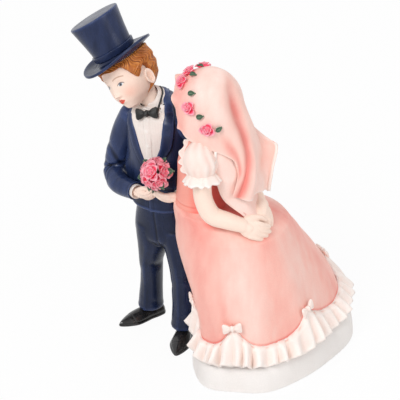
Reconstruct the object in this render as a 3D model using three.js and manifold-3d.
// Wedding cake topper: a bride and a groom in cast, hand-painted resin, one casting per mesh.
// Millimetres, +Z up. The side shown to the guests looks along -Y.
// The origin is the middle of the gown's underside, which stands on the cake.

import * as THREE from "three";
import { mergeVertices } from "three/addons/utils/BufferGeometryUtils.js";
import Module from "manifold-3d";

const wasm = await Module();
wasm.setup();

// Fits
const gap = 0.3; // glue line between two castings
const frillSeat = 0.5; // clearance under gathered trim, which lies on a folded surface

// Groom, in the figure's own frame: it faces -Y, and its left is +X
const groomTurn = -28; // degrees about Z
const groomAside = -18; // from the bride's waist to the groom's stance, along X
const groomBehind = 22; // from the bride's waist to the groom's stance, along Y
const shoeLength = 23;
const shoeWidth = 8.8;
const heelLength = 6; // from the ankle back to the end of the heel
const cuffHeight = 5.2; // trouser hem above the ground
const cuffWidth = 10.8;
const kneeHeight = 30;
const crotchHeight = 41;
const footSpread = 20.4; // between the ankles, across
const footShift = -0.7; // middle of the stance, across
const footStride = 7; // the left foot stands this far ahead
const rightSplay = -26; // degrees, toes outwards
const leftSplay = 16;
const hipWidth = 23.4;
const hipDepth = 17;
const waistHeight = 61; // trouser top and jacket hem
const shoulderHeight = 101;
const shoulderWidth = 28;
const chestDepth = 19;
const neckRise = 6; // foot of the neck above the shoulders
const neckHeight = shoulderHeight + neckRise;
const napeRise = 5.3; // the jacket climbs this much higher behind the neck
const bodyLean = 4.2; // sideways, between the knees and the chest
const shirtDepth = 0.9; // the shirt lies this deep in the jacket's opening
const shirtTopWidth = 15.6;
const shirtPoint = 80; // height where the jacket closes over the shirt
const shirtSet = 1; // that point lies this far to the figure's left
const shirtDrift = 4.2; // and the top of the opening this far back to the right
const lapelWidth = 4.2;
const lapelThickness = 0.8;
const sleeveRadius = 5.2;
const wristRadius = 3.7;
const cuffLength = 1.8;
const cuffRadius = 3.1;
const groomHandLength = 10.5;
const collarThickness = 1.2;
const bowTieWidth = 9.4;
const bowTieHeight = 4.2;
const bowTieDepth = 2;

// Heads
const groomSkull = { height: 25, width: 19.6, depth: 20.8 };
const brideSkull = { height: 22.6, width: 18, depth: 19 };
const neckRadius = 4.3;
const hairThickness = 1.7;
const groomHeadRoll = -33; // degrees, towards the right shoulder
const groomHeadYaw = -14; // degrees, the face turns to the figure's right
const groomHeadPitch = 4; // degrees, the chin lifts
const groomHeadSide = -16.6; // head centre from the middle of the stance
const groomHeadFront = -2;
const groomHeadRise = 11.6; // head centre above the foot of the neck
const groomHeadHeight = neckHeight + groomHeadRise;

// Top hat
const brimLength = 32.5;
const brimWidth = 28.5;
const brimThickness = 1.2;
const brimCurl = 2.4; // the sides turn up by this much
const crownHeight = 20.2;
const crownFootRadius = 8.6;
const crownTopRadius = 10.7;
const hatSeat = 7.4; // brim above the middle of the head
const hatBandHeight = 2.4;
const hatBandThickness = 0.6;

// Bouquet
const bouquetSide = 5.6; // middle of the flowers, in the groom's frame
const bouquetFront = -18.8;
const bouquetRise = 10.6; // above the gown's waist
const bouquetCore = 4.6;
const bouquetRose = 2.8; // radius of one rose
const stemRadius = 1.5;
const ringRoses = 6;

// Bride, in the figure's own frame: it faces -Y, and its left is +X
const brideTurn = -118; // degrees about Z
const trainSide = -22; // middle of the gown's foot from the waist
const trainBack = 19.5;
const trainTurn = -10; // degrees, the oval foot turns with the train
const trainWidth = 90;
const trainDepth = 57;
const petticoatHeight = 13.8;
const petticoatFold = 1.1;
const gownWaistHeight = 74;
const gownWaistWidth = 22;
const gownWaistDepth = 21;
const gownWaistFront = -4.5; // middle of the waist ahead of the shoulders
const skirtFold = 0.045; // fold depth as a share of the skirt's radius
const flounceTop = 21.5; // gathered edge in the middle of a swag
const flounceRise = 7.5; // and this much higher at a bow
const flounceBottom = 12.6; // it hangs over the petticoat's shoulder
const petticoatShoulder = 5.8; // the petticoat draws in by this much at its top
const flounceFlare = 1.5;
const flounceThickness = 0.8;
const pleatDepth = 1.2;
const pleatCount = 46;
const pleatStray = 17; // pleats crowd together and spread this many times round the hem
const bowAngles = [18, 80, 160, 222, 272, 318]; // degrees round the skirt
const bowWidth = 8.2;
const bowHeight = 4;
const bowThickness = 1.1;
const bodiceTop = 104.5;
const bustWidth = 23;
const bustDepth = 20.5;
const puffRadius = 7.4;
const puffLength = 10.4; // from the bodice's top edge down to the sleeve's band
const brideShoulder = 14; // from the figure's middle to the sleeve
const brideArmRadius = 3.7;
const brideWristRadius = 2.7;
const brideHandLength = 15;
const brideHeadRise = 13.3; // head centre above the bodice's top edge
const brideHeadFront = -1.8;
const brideHeadHeight = bodiceTop + brideHeadRise;
const sleeveFrillLength = 4;
const sleeveFrillFlare = 2.6;
const sleeveFrillRipples = 11;
const armholeFrillLength = 1.8;
const armholeFrillFlare = 2.7;
const armholeFrillRipples = 11;
const frillThickness = 0.9;
const frillRipple = 0.5; // a ripple stands this far out of the frill

// Veil
const veilThickness = 1.4;
const veilHem = 83; // hem of the upper tier
const veilSpread = 11.6; // half the width above the hem
const veilBack = 21; // how far behind the waist the veil falls
const veilFold = 0.8;
const veilGroove = 2.4; // one deep groove runs down the back
const veilTuck = 4; // the far side tucks in before its edge flares out
const browRuffle = 0.9;
const wreathRose = 2.1;
// Places in the wreath: share across the veil from the figure's left, then share down from the brow
const wreathRoses = [[0.12, 0.41], [0.17, 0.19], [0.35, 0.07], [0.46, 0.09], [0.62, 0.12]];
const wreathLeaves = [[0.15, 0.5], [0.15, 0.3], [0.25, 0.15], [0.4, 0.11], [0.54, 0.11]];
const wreathLeafLength = 3.2;
const leafThickness = 0.8;

const paint = {
  navy: { color: 0x2b3550, roughness: 0.42 },
  black: { color: 0x141416, roughness: 0.25 },
  white: { color: 0xf3efec, roughness: 0.6 },
  cream: { color: 0xf8ead9, roughness: 0.6 },
  skin: { color: 0xfbdcc6, roughness: 0.5 },
  auburn: { color: 0xa8571f, roughness: 0.55 },
  blush: { color: 0xf6a596, roughness: 0.6 },
  coral: { color: 0xe9796c, roughness: 0.6 },
  veil: { color: 0xfbc9ba, roughness: 0.6 },
  rose: { color: 0xee6283, roughness: 0.5 },
  leaf: { color: 0x3d5a44, roughness: 0.5 },
};

const { abs, cos, floor, hypot, max, min, PI, sign, sin, sqrt } = Math;
const radians = THREE.MathUtils.degToRad;
const { clamp, lerp, smoothstep } = THREE.MathUtils;
const vec = (x, y, z) => new THREE.Vector3(x, y, z);
const counted = (n, make) => Array.from({ length: n }, (_, i) => make(i));

// Geometry helpers

// A closed mesh whose faces point outwards, whichever way they were wound
function skin(points, faces) {
  let volume = 0;
  for (let i = 0; i < faces.length; i += 3) {
    const [a, b, c] = [points[faces[i]], points[faces[i + 1]], points[faces[i + 2]]];
    volume += a.dot(vec().crossVectors(b, c));
  }
  const wound = volume < 0 ? faces.slice().reverse() : faces;
  return new THREE.BufferGeometry().setFromPoints(points).setIndex(wound);
}

// Quads between neighbouring rings, with the first point of each ring joined to its last
function walls(rings, closed) {
  const sides = rings[0].length;
  const faces = [];
  const last = closed ? rings.length : rings.length - 1;
  for (let r = 0; r < last; r++) {
    const next = (r + 1) % rings.length;
    for (let i = 0; i < sides; i++) {
      const j = (i + 1) % sides;
      const [a, b, c, d] = [r * sides + i, r * sides + j, next * sides + j, next * sides + i];
      faces.push(a, b, c, a, c, d);
    }
  }
  return faces;
}

// A solid over a stack of rings, with a fan over each end
function loft(rings) {
  const sides = rings[0].length;
  const points = rings.flat();
  const faces = walls(rings, false);
  [0, rings.length - 1].forEach((r) => {
    const hub = points.length;
    points.push(rings[r].reduce((sum, p) => sum.add(p), vec(0, 0, 0)).divideScalar(sides));
    for (let i = 0; i < sides; i++) {
      const [a, b] = [r * sides + i, r * sides + ((i + 1) % sides)];
      faces.push(...(r === 0 ? [hub, b, a] : [hub, a, b]));
    }
  });
  return skin(points, faces);
}

// A solid whose sections run round in a loop, such as a gathered frill
const hoop = (sections) => skin(sections.flat(), walls(sections, true));

const catmull = (a, b, c, d, f) =>
  b + 0.5 * f * (c - a + f * (2 * a - 5 * b + 4 * c - d + f * (3 * (b - c) + d - a)));

// A smooth row of numbers part of the way along a list of rows
function rowAt(rows, place) {
  const i = clamp(floor(place), 0, rows.length - 2);
  const near = (k) => rows[clamp(i + k, 0, rows.length - 1)];
  return rows[0].map((_, c) => catmull(near(-1)[c], near(0)[c], near(1)[c], near(2)[c], place - i));
}

// The section of an upright form at a height. Each row is [height, x, y, half width, half depth].
function sectionAt(rows, z) {
  const above = rows.findIndex((row) => row[0] > z);
  const i = above < 0 ? rows.length - 2 : max(above - 1, 0);
  const share = clamp((z - rows[i][0]) / (rows[i + 1][0] - rows[i][0]), 0, 1);
  return rowAt(rows, i + share);
}

// An upright form lofted through its sections
function tower(rows, levels, sides, grow = 0) {
  return loft(
    counted(levels + 1, (k) => {
      const place = (k / levels) * (rows.length - 1);
      const [z, x, y, a, b] = rowAt(rows, place);
      const end = k === 0 ? -grow : k === levels ? grow : 0;
      return counted(sides, (i) => {
        const turn = (2 * PI * i) / sides;
        return vec(x + (a + grow) * cos(turn), y + (b + grow) * sin(turn), z + end);
      });
    }),
  );
}

// A round limb along a curve. Each stop is [x, y, z, radius]; an end is domed unless it is flat.
function limb(stops, levels, sides, ends = {}) {
  const { grow = 0, flatStart = false, flatEnd = false, pucker, dome = [0.6, 0.92] } = ends;
  const rows = counted(levels + 1, (k) => rowAt(stops, (k / levels) * (stops.length - 1)));
  const middle = rows.map(([x, y, z]) => vec(x, y, z));
  const ways = middle.map((_, k) =>
    vec().subVectors(middle[min(k + 1, levels)], middle[max(k - 1, 0)]).normalize(),
  );
  let across = abs(ways[0].z) < 0.9 ? vec(0, 0, 1) : vec(1, 0, 0);
  const rings = [];
  const ringAt = (k, along, share) => {
    const side = vec().crossVectors(ways[k], across);
    const radius = (rows[k][3] + grow) * share;
    rings.push(
      counted(sides, (i) => {
        const turn = (2 * PI * i) / sides;
        const r = radius * (pucker ? pucker(k / levels, turn) : 1);
        return middle[k]
          .clone()
          .addScaledVector(ways[k], along)
          .addScaledVector(across, r * cos(turn))
          .addScaledVector(side, r * sin(turn));
      }),
    );
  };
  for (let k = 0; k <= levels; k++) {
    across.addScaledVector(ways[k], -across.dot(ways[k])).normalize();
    const reach = rows[k][3] + grow;
    const [first, last] = [k === 0, k === levels];
    if (first && !flatStart) dome.toReversed().forEach((s) => ringAt(k, -reach * s, sqrt(1 - s * s)));
    ringAt(k, first && flatStart ? -grow : last && flatEnd ? grow : 0, 1);
    if (last && !flatEnd) dome.forEach((s) => ringAt(k, reach * s, sqrt(1 - s * s)));
  }
  return loft(rings);
}

function ball(rx, ry, rz, at, sides = 12) {
  return new THREE.SphereGeometry(1, sides, floor(sides * 0.6)).scale(rx, ry, rz).translate(...at);
}

function box(x, y, z, at) {
  return new THREE.BoxGeometry(x, y, z).translate(...at);
}

// Booleans

function solid(geometry) {
  const bare = new THREE.BufferGeometry();
  bare.setAttribute("position", geometry.getAttribute("position").clone());
  if (geometry.index) bare.setIndex(geometry.index.clone());
  const merged = mergeVertices(bare, 1e-4);
  return new wasm.Manifold(
    new wasm.Mesh({
      numProp: 3,
      vertProperties: merged.getAttribute("position").array,
      triVerts: new Uint32Array(merged.index.array),
    }),
  );
}

// The main body of a solid as geometry; a cut can part a crumb from it
function shape(manifold) {
  const bodies = manifold.decompose().sort((a, b) => b.volume() - a.volume());
  const mesh = bodies[0].getMesh();
  const geometry = new THREE.BufferGeometry();
  geometry.setAttribute("position", new THREE.BufferAttribute(mesh.vertProperties, 3));
  return geometry.setIndex(new THREE.BufferAttribute(mesh.triVerts, 1));
}

const join = (...parts) => shape(parts.map(solid).reduce((sum, part) => sum.add(part)));
const cut = (whole, ...tools) =>
  shape(tools.map(solid).reduce((left, tool) => left.subtract(tool), solid(whole)));
const common = (one, other) => shape(solid(one).intersect(solid(other)));

function piece(name, geometry, finish) {
  geometry.computeVertexNormals();
  const mesh = new THREE.Mesh(geometry, new THREE.MeshStandardMaterial({ ...finish, metalness: 0 }));
  mesh.name = name;
  return mesh;
}

const moved = (geometry, matrix) => geometry.clone().applyMatrix4(matrix);

// A matrix that carries X, Y and Z to a place, with Z along a normal and Y as near up as it can be
function seatOn(at, normal, up) {
  const z = normal.clone().normalize();
  const x = vec().crossVectors(up, z).normalize();
  return new THREE.Matrix4().makeBasis(x, vec().crossVectors(z, x), z).setPosition(at);
}

// Figures' frames

const bride = new THREE.Group();
bride.rotation.z = radians(brideTurn);
bride.position.copy(vec(-trainSide, -trainBack, 0).applyEuler(bride.rotation));
bride.updateMatrix();

const groom = new THREE.Group();
groom.rotation.z = radians(groomTurn);
groom.position.set(bride.position.x + groomAside, bride.position.y + groomBehind, 0);
groom.updateMatrix();

const groomInBride = bride.matrix.clone().invert().multiply(groom.matrix);
const brideInGroom = groomInBride.clone().invert();
const besideGroom = (geometry) => moved(geometry, groomInBride);
const besideBride = (geometry) => moved(geometry, brideInGroom);

// Heads

// Head rows as shares of half the height, depth and width: [height, forward, width, depth]
const headOutline = [
  [-1, -0.42, 0.16, 0.18],
  [-0.9, -0.33, 0.44, 0.45],
  [-0.66, -0.17, 0.75, 0.75],
  [-0.3, -0.05, 0.94, 0.93],
  [0.05, 0, 1, 1],
  [0.42, 0.02, 0.97, 0.97],
  [0.72, 0.03, 0.79, 0.8],
  [0.91, 0.03, 0.48, 0.49],
  [1, 0.03, 0.14, 0.15],
];

function headForm(skull, grow = 0) {
  const [h, w, d] = [skull.height / 2, skull.width / 2, skull.depth / 2];
  const rows = headOutline.map(([z, y, a, b]) => [z * h, 0, y * d, a * w, b * d]);
  return tower(rows, 9, 14, grow);
}

const noseForm = (skull) => ball(1.15, 1.5, 1.8, [0, -skull.depth * 0.475, -skull.height * 0.14], 6);

function earForm(skull, side, grow = 0) {
  const at = [side * skull.width * 0.5, skull.depth * 0.05, -skull.height * 0.12];
  return ball(1.7 + grow, 2.1 + grow, 3 + grow, at, 8);
}

// The neck in a head's frame, from inside the skull to a foot point
function neckForm(skull, foot, grow = 0) {
  const top = [0, skull.depth * 0.08, -skull.height * 0.22, neckRadius];
  const bottom = [foot.x, foot.y, foot.z, neckRadius * 1.06];
  return limb([top, bottom], 2, 12, { grow, flatEnd: true, dome: [0.8] });
}

// Groom: legs and shoes

const ankles = {
  right: vec(footShift - footSpread / 2, footStride / 2, 0),
  left: vec(footShift + footSpread / 2, -footStride / 2, 0),
};

// Shoe sections from heel to toe: [share of length, half width, height] as shares
const shoeOutline = [
  [0, 0.5, 0.62],
  [0.06, 0.78, 0.9],
  [0.2, 0.86, 1],
  [0.36, 0.84, 1],
  [0.52, 0.94, 0.92],
  [0.68, 1, 0.72],
  [0.83, 0.86, 0.55],
  [0.94, 0.56, 0.42],
  [1, 0.2, 0.26],
];

function shoe(name, ankle, splay) {
  const height = cuffHeight - gap;
  const sides = 12;
  const rings = counted(10, (k) => {
    const [share, w, h] = rowAt(shoeOutline, (k / 9) * (shoeOutline.length - 1));
    return counted(sides, (i) => {
      const turn = (2 * PI * i) / sides;
      const x = (shoeWidth / 2) * w * cos(turn);
      return vec(x, heelLength - share * shoeLength, height * h * max(0, sin(turn)));
    });
  });
  const mesh = piece(name, loft(rings), paint.black);
  mesh.position.copy(ankle);
  mesh.rotation.z = radians(splay);
  return mesh;
}

const leanAt = (z) => -bodyLean * smoothstep(z, kneeHeight, shirtPoint);

function trousers(grow = 0) {
  const hip = [hipWidth / 2, hipDepth / 2];
  const middle = lerp(crotchHeight, waistHeight, 0.5);
  const broad = lerp(crotchHeight, waistHeight, 0.6);
  const leg = ({ x, y }) => {
    const side = sign(x);
    const thigh = hip[0] * 0.54;
    const rows = [
      [cuffHeight, x, y - 0.4, cuffWidth / 2, cuffWidth * 0.54],
      [lerp(cuffHeight, kneeHeight, 0.5), x * 0.97, y * 0.85, cuffWidth * 0.46, cuffWidth * 0.5],
      [kneeHeight, x * 0.9, y * 0.5 - 0.4, cuffWidth * 0.48, cuffWidth * 0.53],
      [crotchHeight, side * hip[0] * 0.52, y * 0.2, thigh * 0.97, hip[1] * 0.86],
      [middle, side * hip[0] * 0.46 + leanAt(waistHeight) / 2, 0, thigh, hip[1] * 0.9],
    ];
    return tower(rows, 8, 11, grow);
  };
  const seat = [
    [crotchHeight - 1, 0, 0, hip[0] * 0.7, hip[1] * 0.6],
    [crotchHeight + 4, leanAt(crotchHeight + 4), 0.2, hip[0] * 0.98, hip[1] * 0.95],
    [broad, leanAt(broad), 0.3, hip[0], hip[1]],
    [waistHeight, leanAt(waistHeight), 0, hip[0] * 0.94, hip[1] * 0.98],
  ];
  return join(leg(ankles.right), leg(ankles.left), tower(seat, 5, 16, grow));
}

// Groom: jacket, shirt and sleeves

function torso(grow = 0) {
  const hem = waistHeight + gap;
  const chest = lerp(waistHeight, shoulderHeight, 0.72);
  const waist = lerp(hem, chest, 0.3);
  const ribs = lerp(hem, chest, 0.62);
  const half = shoulderWidth / 2;
  const deep = chestDepth / 2;
  const rows = [
    [hem, leanAt(hem), 0, hipWidth * 0.505, hipDepth * 0.535],
    [waist, leanAt(waist), 0, half * 0.82, deep * 0.94],
    [ribs, leanAt(ribs), -0.2, half * 0.86, deep * 0.97],
    [chest, leanAt(chest), -0.2, half * 0.97, deep],
    [shoulderHeight - 3, leanAt(shoulderHeight - 3), 0.2, half, deep * 0.93],
    [shoulderHeight + 1, leanAt(shoulderHeight + 1), 0.5, half * 0.9, deep * 0.8],
    [lerp(shoulderHeight, neckHeight, 0.65), leanAt(neckHeight), 0.8, half * 0.64, deep * 0.67],
    [neckHeight, leanAt(neckHeight) + neckRadius * 0.25, 1.2, neckRadius * 1.6, neckRadius * 1.5],
    [neckHeight + napeRise * 0.57, leanAt(neckHeight) + neckRadius * 0.45, 2, neckRadius * 1.15, neckRadius * 1.2],
    [neckHeight + napeRise, leanAt(neckHeight), 2.8, neckRadius * 0.6, neckRadius * 0.6],
  ];
  return tower(rows, 11, 18, grow);
}

// A flat outline in the XZ plane of the chest, pushed right through the front half of the body
function frontPrism(corners) {
  const outline = new THREE.Shape(corners.map(([x, z]) => new THREE.Vector2(x, z)));
  const prism = new THREE.ExtrudeGeometry(outline, { depth: chestDepth, bevelEnabled: false });
  return prism.rotateX(PI / 2).translate(0, -0.5, 0);
}

// The jacket's opening: a deep V from the neck, widened for a clearance
function openingCorners(widen) {
  const top = neckHeight + napeRise * 1.5;
  const broad = lerp(shirtPoint, neckHeight, 0.45);
  const low = leanAt(shirtPoint) + shirtSet;
  const high = low - shirtDrift;
  const half = shirtTopWidth / 2;
  return [
    [low, shirtPoint - widen * 2],
    [low + half * 0.6 + widen, broad],
    [high + half + widen, top],
    [high - half - widen, top],
    [low - half * 0.6 - widen, broad],
  ];
}

const bouquetHeight = gownWaistHeight + bouquetRise;
const armX = (share) => leanAt(shoulderHeight) + shoulderWidth * share;
const sleeveStops = {
  right: [
    [armX(-0.46), 0.6, shoulderHeight - 2.6, sleeveRadius],
    [armX(-0.61), 1, shoulderHeight - 12, sleeveRadius],
    [armX(-0.735), -0.6, bouquetHeight - 11.6, sleeveRadius * 0.95],
    [armX(-0.52), -8, bouquetHeight - 14.4, sleeveRadius * 0.86],
    [bouquetSide - 13.6, bouquetFront + 6, bouquetHeight - 13.2, wristRadius],
  ],
  left: [
    [armX(0.43), 0.8, shoulderHeight - 2, sleeveRadius],
    [armX(0.72), 3.6, shoulderHeight - 8, sleeveRadius],
    [armX(0.86), 3.4, lerp(bouquetHeight, shoulderHeight, -0.04), sleeveRadius * 0.95],
    [armX(0.68), -5, bouquetHeight - 6.6, sleeveRadius * 0.84],
    [bouquetSide + 8, bouquetFront + 6.4, bouquetHeight - 9.2, wristRadius],
  ],
};

const sleeve = (side, grow = 0) => limb(sleeveStops[side], 11, 12, { grow, flatEnd: true });

// The wrist's end point and the way the arm points there
function wrist(stops) {
  const [a, b] = stops.slice(-2).map(([x, y, z]) => vec(x, y, z));
  return { at: b, way: b.clone().sub(a).normalize() };
}

function shirtCuff(side, grow = 0) {
  const { at, way } = wrist(sleeveStops[side]);
  const from = at.clone().addScaledVector(way, gap);
  const to = from.clone().addScaledVector(way, cuffLength);
  const stops = [from, to].map((p) => [p.x, p.y, p.z, cuffRadius]);
  return limb(stops, 2, 12, { grow, flatStart: true, flatEnd: true });
}

// Hands

// A hand in its own frame: fingers along +X, thumb towards +Y, back of the hand up.
// Stations along it: [half width, half thickness, depth of the grooves between the fingers]
const handStations = [
  [1.6, 1.15, 0],
  [2.4, 1.3, 0],
  [2.75, 1.3, 0.1],
  [2.7, 1.1, 0.5],
  [2.55, 0.95, 0.6],
  [2.3, 0.85, 0.6],
  [1.5, 0.5, 0.5],
];

// Across the hand, four ridges stand for the fingers
const handRidges = [-1, -0.75, -0.5, -0.25, 0, 0.25, 0.5, 0.75, 1];

function handForm(length, curl, grow = 0) {
  const last = handStations.length - 1;
  let [x, z] = [0, 0];
  const rings = handStations.map(([width, thick, groove], k) => {
    const bend = curl * 1.3 * max(0, k / last - 0.35);
    if (k > 0) x += (cos(bend) * length) / last;
    if (k > 0) z -= (sin(bend) * length) / last;
    const unit = length / 9;
    const at = (share, side) => {
      const low = abs(share) === 0.5 || share === 0 ? 1 - groove : 1;
      const rise = side * (thick * unit + grow) * low * sqrt(max(0, 1 - (abs(share) * 0.97) ** 4));
      return vec(x + sin(bend) * rise, share * (width * unit + grow), z + cos(bend) * rise);
    };
    const back = handRidges.map((share) => at(share, 1));
    const palm = handRidges.slice(1, -1).reverse().map((share) => at(share, -1));
    return [...back, ...palm];
  });
  const t = length / 9;
  const thumb = [
    [1.8 * t, 1.6 * t, -0.3 * t, 0.95 * t],
    [3.6 * t, 3.1 * t, -0.9 * t, 0.85 * t],
    [5.2 * t, 3.4 * t, -1.6 * t, 0.68 * t],
  ];
  return join(loft(rings), limb(thumb, 3, 6, { grow, dome: [0.7] }));
}

// A hand placed at a wrist, with its back facing a given way
function handAt(at, way, back, length, curl, grow = 0) {
  const x = way.clone().normalize();
  const y = vec().crossVectors(back, x).normalize();
  const frame = new THREE.Matrix4().makeBasis(x, y, vec().crossVectors(x, y)).setPosition(at);
  return moved(handForm(length, curl, grow), frame);
}

function groomHand(side) {
  const { at, way } = wrist(sleeveStops[side]);
  const start = at.clone().addScaledVector(way, cuffLength + 2 * gap);
  const inwards = side === "right" ? vec(1, -0.28, 0.06) : vec(-0.9, -0.5, -0.12);
  const back = side === "right" ? vec(-0.2, -0.75, -0.6) : vec(0.25, -0.7, -0.65);
  const hand = handAt(start, inwards, back, groomHandLength, side === "right" ? 1 : 0.7);
  return cut(hand, shirtCuff(side, gap), bouquetStem(gap));
}

// Groom: head, hat and neckwear

const headFrame = new THREE.Group();
headFrame.position.set(groomHeadSide, groomHeadFront, groomHeadHeight);
headFrame.rotation.set(radians(groomHeadPitch), radians(groomHeadRoll), radians(groomHeadYaw), "YXZ");
headFrame.updateMatrix();
const toHead = headFrame.matrix.clone().invert();
const neckTop = vec(leanAt(neckHeight), 1, neckHeight);

// The hat in the head's frame: a turned form whose brim is oval and curls up at its sides
function hat(grow = 0) {
  const foot = brimThickness + 1.4;
  const rim = brimLength / 2 + grow;
  const profile = [
    [0, -grow],
    [crownFootRadius + 1, -grow],
    [rim, -grow],
    [rim, brimThickness + grow],
    [crownFootRadius + 1.2 + grow, brimThickness + 0.4 + grow],
    [crownFootRadius + grow, foot + grow],
    [lerp(crownFootRadius, crownTopRadius, 0.4) + grow, lerp(foot, crownHeight, 0.55)],
    [crownTopRadius + grow, crownHeight - 0.7 + grow],
    [crownTopRadius - 0.8 + grow, crownHeight + grow],
    [0, crownHeight + grow],
  ];
  const points = profile.map(([r, z]) => new THREE.Vector2(r, z));
  const turned = new THREE.LatheGeometry(points, 24).rotateX(PI / 2);
  const place = turned.getAttribute("position");
  for (let i = 0; i < place.count; i++) {
    const [x, y] = [place.getX(i), place.getY(i)];
    const out = smoothstep(hypot(x, y), crownFootRadius, brimLength / 2);
    const level = place.getZ(i) <= foot ? 1 : 0;
    place.setX(i, x * lerp(1, brimWidth / brimLength, out * level));
    place.setZ(i, place.getZ(i) + level * out * brimCurl * (x / (brimLength / 2)) ** 2);
  }
  return shape(solid(turned)).translate(0, 0, hatSeat);
}

function hatBand() {
  const foot = hatSeat + brimThickness + 1.7;
  const rise = (crownTopRadius - crownFootRadius) / (crownHeight - brimThickness);
  const inner = (z) => crownFootRadius + gap + rise * (z - hatSeat - brimThickness);
  const ring = [
    [inner(foot), foot],
    [inner(foot) + hatBandThickness, foot],
    [inner(foot + hatBandHeight) + hatBandThickness, foot + hatBandHeight],
    [inner(foot + hatBandHeight), foot + hatBandHeight],
  ];
  return hoop(
    counted(24, (i) => {
      const turn = (2 * PI * i) / 24;
      return ring.map(([r, z]) => vec(r * cos(turn), r * sin(turn), z));
    }),
  );
}

const neckFoot = neckTop.clone().add(vec(0, 0, gap)).applyMatrix4(toHead);
const groomNeck = (grow = 0) => neckForm(groomSkull, neckFoot, grow);

function groomHead() {
  const ears = [-1, 1].map((side) => earForm(groomSkull, side));
  const whole = join(headForm(groomSkull), noseForm(groomSkull), ...ears, groomNeck());
  return cut(whole, hat(gap), moved(torso(gap), toHead));
}

function groomHair() {
  const { height, depth } = groomSkull;
  const slope = radians(36);
  const front = box(60, 40, 40, [0, -20, -20]).rotateX(-slope);
  const face = front.translate(0, depth * 0.1, -height * 0.13);
  const nape = box(60, 60, 20, [0, 0, -height * 0.36 - 10]);
  const ears = [-1, 1].map((side) => earForm(groomSkull, side, gap));
  const cap = headForm(groomSkull, hairThickness);
  return cut(cap, headForm(groomSkull, gap), face, nape, ...ears, groomNeck(gap), hat(gap));
}

// A round space along the neck, from just under its foot
function neckRoom(radius, below) {
  const up = headFrame.position.clone().sub(neckTop).normalize();
  const start = neckTop.clone().addScaledVector(up, -below);
  const end = neckTop.clone().addScaledVector(up, napeRise * 2);
  const stops = [start, end].map((point) => [...point.toArray(), radius]);
  return limb(stops, 1, 14, { flatStart: true, flatEnd: true });
}

const collarRadius = neckRadius + gap + collarThickness;
const collarFoot = 1; // the collar's foot under the neck

// The collar is a low band round the neck, level with the jacket
function shirtCollar() {
  const band = common(torso(-gap / 2), neckRoom(collarRadius, collarFoot));
  return cut(band, moved(groomNeck(gap), headFrame.matrix));
}

// Two lobes drawn into a knot, used for the tie and for the gown's bows
function bowForm(width, height, depth) {
  const [w, h] = [width / 2, height / 2];
  const side = [
    [0.14, 0.32],
    [0.55, 0.86],
    [1, 0.9],
    [0.94, 0],
    [1, -0.9],
    [0.55, -0.86],
    [0.14, -0.32],
  ];
  const both = [...side, ...side.map(([x, y]) => [-x, -y])];
  const outline = new THREE.Shape(both.map(([x, y]) => new THREE.Vector2(x * w, y * h)));
  const flat = new THREE.ExtrudeGeometry(outline, { depth: depth * 0.7, bevelEnabled: false });
  const knot = ball(w * 0.24, h * 0.52, depth * 0.62, [0, 0, depth * 0.62], 6);
  return join(flat, knot);
}

function bowTie() {
  const front = vec(leanAt(neckHeight) - 0.8, -chestDepth * 0.32, neckHeight - bowTieHeight / 2);
  const frame = seatOn(front, vec(0.1, -1, 0.35), vec(-0.25, 0, 1));
  return moved(bowForm(bowTieWidth, bowTieHeight, bowTieDepth), frame);
}

// Roses and leaves

// An open rose: tiers of petals round a bud, each lip higher than the groove inside it
const roseTiers = [
  [0.86, 0, 0, 0],
  [1.02, 0.34, 5, 0.07],
  [0.76, 0.62, 5, 0.05],
  [0.6, 0.5, 0, 0],
  [0.56, 0.86, 3, 0.06],
  [0.34, 0.7, 0, 0],
  [0.3, 0.98, 2, 0.06],
  [0.12, 0.84, 0, 0],
];

function roseForm(radius) {
  const sides = 7;
  return loft(
    roseTiers.map(([share, height, lobes, depth], tier) =>
      counted(sides, (i) => {
        const turn = (2 * PI * i) / sides;
        const r = radius * share * (1 + depth * cos(lobes * turn + tier));
        return vec(r * cos(turn), r * sin(turn), radius * height);
      }),
    ),
  );
}

// A pointed leaf along +Y with a raised midrib
function leafForm(length, width, thickness) {
  const outline = [
    [0.02, 0.2],
    [0.35, 1],
    [0.7, 0.75],
    [1, 0.08],
  ];
  return loft(
    outline.map(([y, w]) => {
      const half = (width / 2) * w;
      const [at, droop] = [y * length, -0.25 * length * y * y];
      return [
        vec(-half, at, droop + thickness * 0.4),
        vec(0, at, droop),
        vec(half, at, droop + thickness * 0.4),
        vec(0, at, droop + thickness * (0.3 + 0.7 * w)),
      ];
    }),
  );
}

// Bouquet, in the groom's frame

const bouquetAt = vec(bouquetSide, bouquetFront, bouquetHeight);
const bouquetWay = vec(-0.06, -0.82, 0.57).normalize();

// Ways out of the bouquet: one along its axis, then a ring leaning out by an angle
function bouquetRay(lean, turn) {
  const x = vec(1, 0, 0).addScaledVector(bouquetWay, -bouquetWay.x).normalize();
  const y = vec().crossVectors(bouquetWay, x);
  return bouquetWay
    .clone()
    .multiplyScalar(cos(lean))
    .addScaledVector(x, sin(lean) * cos(turn))
    .addScaledVector(y, sin(lean) * sin(turn));
}

function bouquetStem(grow = 0) {
  const radius = bouquetCore + grow;
  const core = ball(radius, radius, radius, bouquetAt.toArray(), 9);
  const hang = vec(-0.25, 0.34, -0.9).normalize();
  const tail = bouquetAt.clone().addScaledVector(hang, bouquetCore * 2.9);
  const stops = [
    [...bouquetAt.toArray(), stemRadius * 1.3],
    [...tail.toArray(), stemRadius],
  ];
  return join(core, limb(stops, 3, 8, { grow, flatEnd: true }));
}

// Where each rose sits on the bouquet's core: one on the axis, the others in a ring
function bouquetSeats() {
  const ring = counted(ringRoses, (i) => bouquetRay(radians(63), (2 * PI * (i + 0.3)) / ringRoses));
  return [bouquetRay(0, 0), ...ring].map((ray) =>
    seatOn(bouquetAt.clone().addScaledVector(ray, bouquetCore + gap), ray, vec(0.3, 0.1, 1)),
  );
}

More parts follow.
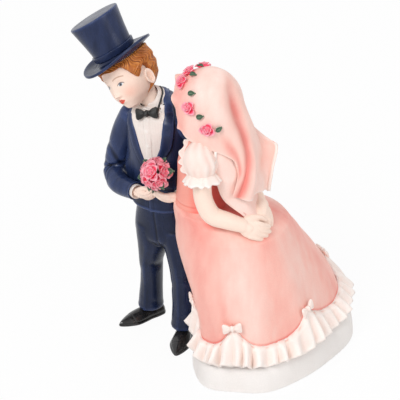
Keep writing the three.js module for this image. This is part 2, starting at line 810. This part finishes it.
function bouquetFoliage() {
  const leaves = [20, 95, 165, 290].map((turn) => {
    const ray = bouquetRay(radians(96), radians(turn));
    const foot = bouquetAt.clone().addScaledVector(ray, bouquetCore * 0.7);
    const out = ray.clone().addScaledVector(bouquetWay, 0.25).normalize();
    const across = vec().crossVectors(bouquetWay, out);
    const frame = seatOn(foot, vec().crossVectors(out, across).negate(), out);
    return moved(leafForm(bouquetRose * 2.5, bouquetRose * 1.5, leafThickness), frame);
  });
  const roses = bouquetSeats().map((seat) => moved(roseForm(bouquetRose + gap), seat));
  return cut(join(bouquetStem(), ...leaves), ...roses);
}

function bouquetRoses() {
  return bouquetSeats().map((seat, i) => {
    const mesh = piece(`bouquet_rose_${i + 1}`, roseForm(bouquetRose), paint.rose);
    mesh.applyMatrix4(seat);
    return mesh;
  });
}

// Bride: gown

const gownFoot = vec(trainSide, trainBack, 0);

// Height on the skirt as a share of the way from its hem to the waist
const skirtHeight = (share) => lerp(petticoatHeight + gap, gownWaistHeight, share);

// Skirt rows from hem to waist: the front stands out under the waist, and the back swells into a bustle
const skirtRows = [
  [skirtHeight(0), gownFoot.x * 0.93, gownFoot.y * 0.95, trainWidth * 0.445, trainDepth * 0.43],
  [skirtHeight(0.24), gownFoot.x * 0.8, gownFoot.y * 0.83, trainWidth * 0.417, trainDepth * 0.432],
  [skirtHeight(0.47), gownFoot.x * 0.61, gownFoot.y * 0.625, trainWidth * 0.372, trainDepth * 0.442],
  [skirtHeight(0.7), gownFoot.x * 0.43, gownFoot.y * 0.41, trainWidth * 0.311, trainDepth * 0.435],
  [skirtHeight(0.85), gownFoot.x * 0.32, gownFoot.y * 0.31, trainWidth * 0.261, trainDepth * 0.404],
  [skirtHeight(0.935), gownFoot.x * 0.205, gownFoot.y * 0.13, trainWidth * 0.211, trainDepth * 0.347],
  [skirtHeight(0.98), gownFoot.x * 0.07, gownWaistFront * 0.33, gownWaistWidth * 0.66, gownWaistDepth * 0.69],
  [skirtHeight(1), 0, gownWaistFront, gownWaistWidth / 2, gownWaistDepth / 2],
];

const skirtWave = (turn) =>
  0.5 * cos(5 * turn + 0.4) + 0.32 * cos(8 * turn + 1.9) + 0.2 * cos(11 * turn + 4);

// A point on the skirt, or this far out from it
function skirtPoint(z, turn, out = 0) {
  const [, x, y, a, b] = sectionAt(skirtRows, z);
  const down = 1 - clamp(z / gownWaistHeight, 0, 1);
  const fold = 1 + skirtFold * smoothstep(down, 0.05, 0.75) * skirtWave(turn);
  const twist = radians(trainTurn) * down;
  const [px, py] = [(a * fold + out) * cos(turn), (b * fold + out) * sin(turn)];
  return vec(x + px * cos(twist) - py * sin(twist), y + px * sin(twist) + py * cos(twist), z);
}

function skirt(grow = 0) {
  const heights = [0, 0.12, 0.26, 0.42, 0.58, 0.72, 0.82, 0.9, 0.95, 0.98, 1].map(skirtHeight);
  return loft(heights.map((z) => counted(44, (i) => skirtPoint(z, (2 * PI * i) / 44, grow))));
}

// The petticoat stands on the cake: a plain oval wall with soft folds and a rounded shoulder
function petticoat(grow = 0) {
  const heights = [0, 0.06, 0.43, 0.69, 0.86, 1].map((share) => share * petticoatHeight);
  const drawn = [0.09, 0, 0.1, 0.28, 0.59, 1].map((share) => share * petticoatShoulder);
  const twist = radians(trainTurn);
  return loft(
    heights.map((z, k) =>
      counted(36, (i) => {
        const turn = (2 * PI * i) / 36;
        const fold = petticoatFold * (0.7 * cos(6 * turn + 0.9) + 0.3 * cos(9 * turn)) - drawn[k] + grow;
        const [px, py] = [(trainWidth / 2 + fold) * cos(turn), (trainDepth / 2 + fold) * sin(turn)];
        const [c, n] = [cos(twist), sin(twist)];
        return vec(gownFoot.x + px * c - py * n, gownFoot.y + px * n + py * c, z + (k === 5 ? grow : 0));
      }),
    ),
  );
}

const bowTurns = bowAngles.map(radians);

// Height of the flounce's gathered edge: it hangs in swags from the bows
function swagTop(turn) {
  const round = ((turn % (2 * PI)) + 2 * PI) % (2 * PI);
  const after = bowTurns.findIndex((bow) => bow > round);
  const count = bowTurns.length;
  const from = after <= 0 ? bowTurns[count - 1] - (after === 0 ? 2 * PI : 0) : bowTurns[after - 1];
  const to = after < 0 ? bowTurns[0] + 2 * PI : bowTurns[after];
  const share = (round - from) / (to - from);
  return flounceTop + flounceRise * (2 * share - 1) ** 2;
}

// Crests and hollows take turns round the hem, here crowded together, there spread apart
function pleatTurn(index) {
  let turn = (PI * index) / pleatCount;
  for (let pass = 0; pass < 8; pass++) turn = (PI * (index + 0.5) - 0.9 * sin(pleatStray * turn)) / pleatCount;
  return turn;
}

function flounce() {
  const ring = hoop(
    counted(pleatCount * 2, (i) => {
      const turn = pleatTurn(i);
      const top = swagTop(turn);
      const bottom = flounceBottom + (top - flounceTop) * 0.15;
      const seat = frillSeat * 3 + flounceThickness / 2;
      const pleat = pleatDepth * (i % 2 ? -1 : 1);
      const outside = (share) => seat + flounceFlare * share + pleat * lerp(0.3, 1, share);
      const at = (share, out) => {
        const z = lerp(top, bottom, share);
        return skirtPoint(max(z, petticoatHeight + gap), turn, out).setZ(z);
      };
      const belly = outside(0.5) + frillSeat;
      return [at(0, frillSeat), at(1, frillSeat), at(1, outside(1)), at(0.5, belly), at(0, outside(0))];
    }),
  );
  return cut(ring, petticoat(gap), skirt(gap / 2));
}

function gownBows() {
  const off = frillSeat * 3 + flounceThickness / 2 + pleatDepth * 0.3 + gap;
  return bowTurns.map((turn, i) => {
    const z = flounceTop + flounceRise;
    const at = skirtPoint(z, turn, off);
    const level = skirtPoint(z, turn + 0.05, off).sub(skirtPoint(z, turn - 0.05, off));
    const slope = skirtPoint(z + 2, turn, off).sub(skirtPoint(z - 2, turn, off)).normalize();
    const mesh = piece(`gown_bow_${i + 1}`, bowForm(bowWidth, bowHeight, bowThickness), paint.cream);
    mesh.applyMatrix4(seatOn(at, vec().crossVectors(level, slope), slope));
    return mesh;
  });
}

function bodice(grow = 0) {
  const low = gownWaistHeight + gap;
  const bust = lerp(low, bodiceTop, 0.66);
  const rows = [
    [low, 0, gownWaistFront, gownWaistWidth * 0.49, gownWaistDepth * 0.49],
    [lerp(low, bust, 0.35), 0, gownWaistFront * 0.95, gownWaistWidth * 0.48, gownWaistDepth * 0.47],
    [lerp(low, bust, 0.75), 0, gownWaistFront * 0.8, bustWidth * 0.49, bustDepth * 0.49],
    [bust, 0, gownWaistFront * 0.7, bustWidth / 2, bustDepth / 2],
    [lerp(bust, bodiceTop, 0.6), 0, gownWaistFront * 0.35, bustWidth * 0.49, bustDepth * 0.44],
    [bodiceTop, 0, gownWaistFront * 0.15, bustWidth * 0.44, bustDepth * 0.38],
  ];
  return tower(rows, 8, 18, grow);
}

const puffStops = (side) => [
  [side * (brideShoulder - 4), 1, bodiceTop + 2.4, puffRadius * 0.45],
  [side * brideShoulder, 2, bodiceTop - 1.2, puffRadius * 0.93],
  [side * (brideShoulder + 1), 3.2, bodiceTop - 5.6, puffRadius],
  [side * (brideShoulder + 1.4), 4, bodiceTop - puffLength, puffRadius * 0.72],
];

// Gathers in the puff show most at its two ends
const gathers = (share, turn) => 1 + 0.05 * cos(9 * turn) * abs(2 * share - 1);

function puffSleeve(side, grow = 0) {
  return limb(puffStops(side), 6, 16, { grow, flatEnd: true, pucker: gathers, dome: [0.8] });
}

// Both arms reach behind the back; the right hand comes down over the left one
const armReach = {
  left: { elbow: 3.4, forearm: [0.83, -0.4], wrist: [0.47, 1.44, -3.6] },
  right: { elbow: 6.4, forearm: [0.71, 4.4], wrist: [0.28, 1.48, 2.4] },
};

function armStops(side) {
  const { elbow, forearm, wrist: end } = side > 0 ? armReach.left : armReach.right;
  const start = bodiceTop - puffLength - gap;
  const bend = gownWaistHeight + elbow;
  return [
    [side * (brideShoulder + 1.4), 4, start, brideArmRadius],
    [side * (brideShoulder + 1.9), 4.8, lerp(start, bend, 0.5), brideArmRadius],
    [side * (brideShoulder + 1.2), brideShoulder * 0.54, bend, brideArmRadius],
    [side * brideShoulder * forearm[0], brideShoulder, gownWaistHeight + forearm[1], brideArmRadius * 0.89],
    [side * end[0] * brideShoulder, end[1] * brideShoulder, gownWaistHeight + end[2], brideWristRadius],
  ];
}

const brideArm = (side, grow = 0) =>
  limb(armStops(side), 10, 10, { grow, flatStart: true, flatEnd: true });

// A gathered frill: a ring that flares and ripples as it leaves its seat
function frillForm(frame, radius, length, flare, ripples) {
  const steps = ripples * 2;
  const ring = hoop(
    counted(steps, (i) => {
      const turn = (2 * PI * i) / steps;
      const ripple = frillRipple * cos(ripples * turn);
      const at = (r, z) => vec(r * cos(turn), r * sin(turn), z);
      const far = radius + flare + ripple;
      const back = [at(far + frillThickness, length), at(radius + frillThickness, 0)];
      return [at(radius, 0), at(far, length), ...back];
    }),
  );
  return moved(ring, frame);
}

function sleeveFrill(side) {
  const [top, next] = armStops(side).map(([x, y, z]) => vec(x, y, z));
  const way = next.clone().sub(top).normalize();
  const frame = seatOn(top.clone().addScaledVector(way, 0.2), way, vec(0, 1, 0));
  return cut(
    frillForm(frame, brideArmRadius + frillSeat, sleeveFrillLength, sleeveFrillFlare, sleeveFrillRipples),
    puffSleeve(side, gap),
    brideArm(side, gap),
    bodice(gap),
    besideGroom(sleeve("left", gap)),
  );
}

// The room a frill takes up, ripples and all
function frillRoom(top, way, length, radius) {
  const start = top.clone().addScaledVector(way, -gap);
  const end = top.clone().addScaledVector(way, length + gap);
  const stops = [start, end].map((p) => [...p.toArray(), radius + frillRipple + frillThickness + gap]);
  return limb(stops, 1, 12, { flatStart: true, flatEnd: true });
}

function sleeveFrillRoom(side) {
  const [top, next] = armStops(side).map(([x, y, z]) => vec(x, y, z));
  const way = next.clone().sub(top).normalize();
  return frillRoom(top, way, sleeveFrillLength + gap, brideArmRadius + frillSeat + sleeveFrillFlare);
}

// The frill round the armhole stands up between the bodice and the puff
const armholeWay = (side) => vec(side * 0.86, -0.28, 0.42).normalize();
const armholeAt = (side) =>
  vec(side * (brideShoulder - puffRadius * 0.54), puffRadius * 0.05, bodiceTop - puffRadius * 0.62);
const armholeRoom = (side) =>
  frillRoom(armholeAt(side), armholeWay(side), armholeFrillLength, puffRadius * 0.88 + armholeFrillFlare);

function armholeFrill(side) {
  const frame = seatOn(armholeAt(side), armholeWay(side), vec(0, 0, 1));
  return cut(
    frillForm(frame, puffRadius * 0.88, armholeFrillLength, armholeFrillFlare, armholeFrillRipples),
    puffSleeve(side, gap),
    sleeveFrillRoom(side),
    brideArm(side, gap),
    bodice(gap),
    bust(gap),
    brideHairForm(gap),
    besideGroom(sleeve("left", gap)),
  );
}

// Bride: head, hair and hands

const brideHeadAt = vec(0, brideHeadFront, brideHeadHeight);
const brideHeadMatrix = new THREE.Matrix4().makeTranslation(brideHeadAt);

// Shoulders and throat above the bodice, up into the neck
function bust(grow = 0) {
  const low = bodiceTop + gap;
  const throat = brideHeadHeight - brideSkull.height * 0.22;
  const rows = [
    [low, 0, 0.4, bustWidth * 0.43, bustDepth * 0.37],
    [low + 2.2, 0, 0.6, bustWidth * 0.36, bustDepth * 0.33],
    [low + 4.4, 0, 0.6, neckRadius * 1.25, neckRadius * 1.2],
    [throat, 0, brideHeadFront * 0.4, neckRadius * 0.95, neckRadius * 0.95],
  ];
  return tower(rows, 5, 14, grow);
}

function brideHead() {
  const face = join(headForm(brideSkull), noseForm(brideSkull));
  return join(moved(face, brideHeadMatrix), bust());
}

const brideHairForm = (grow = 0) =>
  moved(headForm(brideSkull, hairThickness + grow), brideHeadMatrix);

function brideHair() {
  const { height, depth } = brideSkull;
  const slope = radians(34);
  const front = box(60, 40, 40, [0, -20, -20]).rotateX(-slope);
  const face = front.translate(0, -depth * 0.06, -height * 0.02);
  const nape = box(60, 60, 20, [0, 0, -height * 0.42 - 10]);
  const shell = cut(headForm(brideSkull, hairThickness), headForm(brideSkull, gap), face, nape);
  return cut(moved(shell, brideHeadMatrix), bust(gap));
}

function brideHand(side, grow = 0) {
  const { at, way } = wrist(armStops(side));
  const start = at.clone().addScaledVector(way, gap);
  const points = side > 0 ? vec(-0.62, 0.55, -0.3) : vec(0.42, 0.32, -0.85);
  const back = side > 0 ? vec(0.55, 0.6, -0.6) : vec(0.3, 0.85, 0.45);
  const length = brideHandLength * (side > 0 ? 0.76 : 1);
  return handAt(start, points, back, length, side > 0 ? 1.2 : 0.5, grow);
}

// The right hand lies over the left one
function clasped(side) {
  const tools = [brideArm(1, gap), brideArm(-1, gap), skirt(gap)];
  if (side < 0) tools.push(brideHand(1, gap));
  return cut(brideHand(side), ...tools);
}

// Veil

// Half sizes of the head with its hair on
const veiled = {
  side: brideSkull.width / 2 + hairThickness,
  deep: brideSkull.depth / 2 + hairThickness,
  tall: brideSkull.height / 2 + hairThickness,
};

// An arch over the head, in shares of those half sizes from the head's centre
function overHead(edgeBack, edgeUp, spread, topBack, topUp) {
  const half = spread * veiled.side;
  const y = brideHeadFront + edgeBack * veiled.deep;
  const z = brideHeadHeight + edgeUp * veiled.tall;
  const top = [brideHeadFront + topBack * veiled.deep, brideHeadHeight + topUp * veiled.tall];
  return [half, y, z, -half, y, z, ...top];
}

// An arch behind the back, in shares of the veil's spread, its reach back and the fall to its hem
function downBack(near, far, top) {
  const fall = (share) => lerp(brideHeadHeight, veilHem, share);
  const edge = ([x, y, down]) => [x * veilSpread, y * veilBack, fall(down)];
  return [...edge(near), ...edge(far), top[0] * veilBack, fall(top[1])];
}

// Arches from the brow to the hem: near edge, far edge, then how far back and how high the top stands
const veilArches = [
  overHead(-0.72, -0.41, 1.18, -1.12, 0.8),
  overHead(-0.42, -0.56, 1.25, -0.43, 1.11),
  overHead(-0.11, -0.68, 1.33, 0.1, 1.25),
  overHead(0.23, -0.77, 1.35, 0.66, 1.14),
  overHead(0.6, -0.86, 1.33, 1.02, 0.785),
  downBack([0.966, 0.495, 0.391], [-1.19, 0.429, 0.44], [0.619, -0.078]),
  downBack([0.69, 0.695, 0.5], [-1.164, 0.762, 0.44], [0.81, 0.195]),
  downBack([0.621, 0.743, 0.644], [-1.034, 1.048, 0.5], [0.962, 0.483]),
  downBack([0.655, 0.705, 0.799], [-0.655, 1.076, 0.727], [1.029, 0.756]),
  downBack([0.69, 0.648, 0.954], [-0.517, 1.048, 1.011], [0.99, 0.977]),
];

// The lower tier springs from under the upper one and ends at the hands
const underArches = [
  downBack([1.112, 0.362, 0.356], [-1.198, 0.333, 0.382], [0.514, -0.167]),
  downBack([0.914, 0.343, 0.54], [-0.905, 0.429, 0.54], [0.686, 0.282]),
  downBack([0.81, 0.381, 0.756], [-0.819, 0.548, 0.756], [0.771, 0.655]),
  downBack([0.724, 0.524, 0.983], [-0.733, 0.667, 0.971], [0.848, 0.943]),
  downBack([0.448, 0.924, 1.19], [-0.603, 0.81, 1.115], [0.971, 1.161]),
];

// A point on a tier: across from the near edge (0) to the far one (1), down from its top (0) to its hem (1)
function archPoint(arches, across, down) {
  const [nx, ny, nz, fx, fy, fz, topY, topZ] = rowAt(arches, down * (arches.length - 1));
  const share = (1 - cos(PI * across)) / 2;
  const rise = sin(PI * across);
  return vec(lerp(nx, fx, share), lerp(lerp(ny, fy, share), topY, rise), lerp(lerp(nz, fz, share), topZ, rise));
}

function archNormal(arches, across, down) {
  const step = 0.01;
  const [a, b] = [clamp(across, step, 1 - step), clamp(down, step, 1 - step)];
  const run = archPoint(arches, a + step, b).sub(archPoint(arches, a - step, b));
  const fall = archPoint(arches, a, b + step).sub(archPoint(arches, a, b - step));
  return vec().crossVectors(fall, run).normalize();
}

const bell = (value, middle, width) => Math.exp(-(((value - middle) / width) ** 2));

// How far the upper tier stands out of its arches
function veilFolds(across, down) {
  const soft = veilFold * smoothstep(down, 0.3, 0.8) * cos(2 * PI * (2.5 * across + 0.2 * sin(3 * down)) + 0.6);
  const groove = veilGroove * smoothstep(down, 0.4, 0.6) * bell(across, 0.74 - 0.62 * down, 0.08);
  const second = (veilGroove / 2) * smoothstep(down, 0.52, 0.64) * bell(across, 0.3 - 0.35 * down, 0.06);
  const waist = smoothstep(down, 0.5, 0.66) * (1 - smoothstep(down, 0.82, 0.95));
  const tuck = veilTuck * waist * bell(across, 0.76, 0.14);
  const brow = browRuffle * (1 - smoothstep(down, 0, 0.08)) * cos(9 * PI * across);
  return (soft - groove - second * (1 - smoothstep(down, 0.75, 0.95)) - tuck) * sqrt(sin(PI * across)) + brow;
}

const underFolds = (across, down) =>
  (veilFold / 2) * smoothstep(down, 0.2, 0.8) * cos(5 * PI * across + 1) * sin(PI * across);

function tierPoint(arches, folds, across, down, depth = 0) {
  const out = folds(across, down) - depth;
  return archPoint(arches, across, down).addScaledVector(archNormal(arches, across, down), out);
}

// A tier as a closed sheet of one thickness
function tier(arches, folds, columns, rows) {
  const points = [];
  const faces = [];
  const index = (layer, j, i) => layer * (columns + 1) * (rows + 1) + j * (columns + 1) + i;
  const quad = (a, b, c, d) => faces.push(a, b, c, a, c, d);
  [0, veilThickness].forEach((depth) => {
    for (let j = 0; j <= rows; j++)
      for (let i = 0; i <= columns; i++)
        points.push(tierPoint(arches, folds, i / columns, j / rows, depth));
  });
  for (let j = 0; j < rows; j++)
    for (let i = 0; i < columns; i++) {
      quad(index(0, j, i), index(0, j, i + 1), index(0, j + 1, i + 1), index(0, j + 1, i));
      quad(index(1, j, i), index(1, j + 1, i), index(1, j + 1, i + 1), index(1, j, i + 1));
    }
  for (let j = 0; j < rows; j++) {
    quad(index(0, j, 0), index(0, j + 1, 0), index(1, j + 1, 0), index(1, j, 0));
    quad(index(0, j, columns), index(1, j, columns), index(1, j + 1, columns), index(0, j + 1, columns));
  }
  for (let i = 0; i < columns; i++) {
    quad(index(0, 0, i), index(1, 0, i), index(1, 0, i + 1), index(0, 0, i + 1));
    quad(index(0, rows, i), index(0, rows, i + 1), index(1, rows, i + 1), index(1, rows, i));
  }
  return skin(points, faces);
}

const veil = () => join(tier(veilArches, veilFolds, 20, 11), tier(underArches, underFolds, 8, 4));

// The wreath lies on the veil behind its ruffle
function wreathSeat([across, down], off) {
  const at = tierPoint(veilArches, veilFolds, across, down, -off);
  return { at, normal: archNormal(veilArches, across, down) };
}

function wreathRosesOn() {
  return wreathRoses.map((place, i) => {
    const { at, normal } = wreathSeat(place, gap * 1.3);
    const mesh = piece(`wreath_rose_${i + 1}`, roseForm(wreathRose), paint.rose);
    mesh.applyMatrix4(seatOn(at, normal, vec(0.3, 0.2, 1)));
    return mesh;
  });
}

function wreathLeavesOn() {
  return wreathLeaves.map((place, i) => {
    const { at, normal } = wreathSeat(place, gap * 1.4 + leafThickness * 0.6);
    const leaf = leafForm(wreathLeafLength, wreathLeafLength * 0.7, leafThickness);
    const mesh = piece(`wreath_leaf_${i + 1}`, leaf, paint.leaf);
    mesh.applyMatrix4(seatOn(at, normal, vec(0.2, 1, 0.4)));
    return mesh;
  });
}

// Groom assembly

// Where the couple stand close, the groom's left arm is pressed flat against the gown
const gownInGroom = [bodice(gap), skirt(gap), puffSleeve(-1, gap)].map(besideBride);
const trouserForm = trousers();
const shirtOpening = frontPrism(openingCorners(0));
const bothSleeves = [sleeve("right", gap), sleeve("left", gap)];
const neckHole = neckRoom(collarRadius + gap, collarFoot + gap);
const jacket = cut(torso(), frontPrism(openingCorners(gap)), ...bothSleeves, neckHole);
const shirtFront = cut(common(torso(-shirtDepth), shirtOpening), ...bothSleeves, neckHole);

function lapel(side) {
  const inner = openingCorners(gap + 0.2);
  const outer = openingCorners(gap + lapelWidth);
  const [a, b] = side > 0 ? [1, 2] : [4, 3];
  const tip = [outer[0][0] + side * 1.2, outer[0][1] + 5];
  const band = [inner[0], inner[a], inner[b], outer[b], outer[a], tip];
  const slab = common(torso(gap + lapelThickness), frontPrism(side > 0 ? band : band.slice().reverse()));
  return cut(slab, torso(gap), ...bothSleeves, shirtCuff("right", gap), neckHole);
}

const groomHeadGroup = new THREE.Group();
groomHeadGroup.position.copy(headFrame.position);
groomHeadGroup.rotation.copy(headFrame.rotation);
groomHeadGroup.add(
  piece("groom_head", groomHead(), paint.skin),
  piece("groom_hair", groomHair(), paint.auburn),
  piece("groom_hat", hat(), paint.navy),
  piece("groom_hat_band", hatBand(), paint.navy),
);

groom.add(
  groomHeadGroup,
  shoe("groom_shoe_right", ankles.right, rightSplay),
  shoe("groom_shoe_left", ankles.left, leftSplay),
  piece("groom_trousers", trouserForm, paint.navy),
  piece("groom_jacket", jacket, paint.navy),
  piece("groom_shirt_front", shirtFront, paint.white),
  piece("groom_lapel_right", lapel(-1), paint.navy),
  piece("groom_lapel_left", lapel(1), paint.navy),
  piece("groom_sleeve_right", sleeve("right"), paint.navy),
  piece("groom_sleeve_left", cut(sleeve("left"), ...gownInGroom), paint.navy),
  piece("groom_shirt_cuff_right", shirtCuff("right"), paint.white),
  piece("groom_shirt_cuff_left", cut(shirtCuff("left"), ...gownInGroom), paint.white),
  piece("groom_hand_right", groomHand("right"), paint.skin),
  piece("groom_hand_left", cut(groomHand("left"), ...gownInGroom), paint.skin),
  piece("groom_shirt_collar", shirtCollar(), paint.white),
  piece("groom_bow_tie", bowTie(), paint.black),
  piece("bouquet_foliage", bouquetFoliage(), paint.leaf),
  ...bouquetRoses(),
);

// Bride assembly

const underVeil = [
  brideHairForm(gap),
  bodice(gap),
  skirt(gap),
  ...[1, -1].flatMap((side) => [puffSleeve(side, gap), sleeveFrillRoom(side), armholeRoom(side)]),
  ...[1, -1].flatMap((side) => [brideArm(side, gap), brideHand(side, gap)]),
];
const groomBody = [trousers(gap), torso(gap)].map(besideGroom);

bride.add(
  piece("gown_petticoat", petticoat(), paint.white),
  piece("gown_skirt", cut(skirt(), ...groomBody), paint.blush),
  piece("gown_flounce", cut(flounce(), ...groomBody), paint.cream),
  ...gownBows(),
  ...wreathRosesOn(),
  ...wreathLeavesOn(),
  piece("gown_bodice", bodice(), paint.coral),
  piece("bride_head", brideHead(), paint.skin),
  piece("bride_hair", brideHair(), paint.auburn),
  piece("bride_veil", cut(veil(), ...underVeil), paint.veil),
);
[["left", 1], ["right", -1]].forEach(([word, side]) => {
  bride.add(
    piece(`gown_puff_sleeve_${word}`, cut(puffSleeve(side), bodice(gap), bust(gap)), paint.cream),
    piece(`gown_sleeve_frill_${word}`, sleeveFrill(side), paint.cream),
    piece(`gown_armhole_frill_${word}`, armholeFrill(side), paint.cream),
    piece(`bride_arm_${word}`, cut(brideArm(side), puffSleeve(side, gap), skirt(gap)), paint.skin),
    piece(`bride_hand_${word}`, clasped(side), paint.skin),
  );
});

const cakeTopper = new THREE.Group();
cakeTopper.name = "wedding_cake_topper";
cakeTopper.add(groom, bride);

export default cakeTopper;
